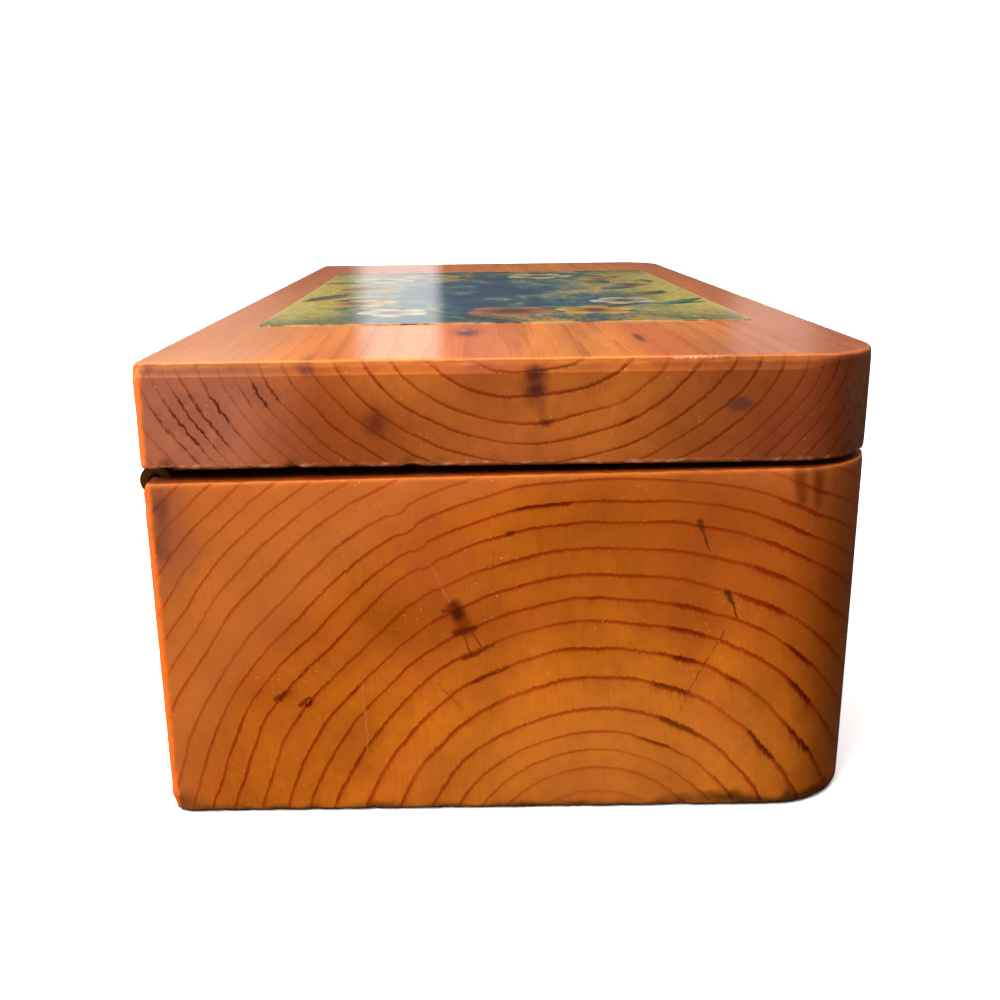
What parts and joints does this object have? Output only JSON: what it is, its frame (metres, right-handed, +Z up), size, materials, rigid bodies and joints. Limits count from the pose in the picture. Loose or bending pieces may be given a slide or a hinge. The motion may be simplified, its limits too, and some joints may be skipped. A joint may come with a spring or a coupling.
{
  "type": "hinged souvenir box",
  "caption": "Hollowed solid-wood keepsake box with rounded front corners and a thick picture-topped slab lid that swings open on a continuous hinge.",
  "frame": {"origin": "middle of the flat underside of the base block", "axes": "+X along the length and the grain, -Y the front with the rounded corners, +Y the hinge side, +Z up"},
  "size_m": [0.204, 0.1032, 0.0671],
  "materials": {
    "cedar_base": "amber gloss lacquer",
    "cedar_lid": "amber gloss lacquer",
    "picture_print": "lacquered print",
    "hinge_brass": "tarnished",
    "screw_brass": "tarnished",
    "pin_steel": "dull"
  },
  "bodies": {
    "base": {"base_block": "cedar_base", "hinge_base_leaf": "hinge_brass", "hinge_pin": "pin_steel", "hinge_base_screws": "screw_brass"},
    "lid": {"lid_slab": "cedar_lid", "lid_picture": "picture_print", "hinge_lid_leaf": "hinge_brass", "hinge_lid_screws": "screw_brass"}
  },
  "joints": [
    {"name": "lid_hinge", "type": "hinge", "parent": "base", "child": "lid", "pos_m": [0, 0.05, 0.05], "axis": [-1, 0, 0], "range_deg": [0, 120]}
  ]
}
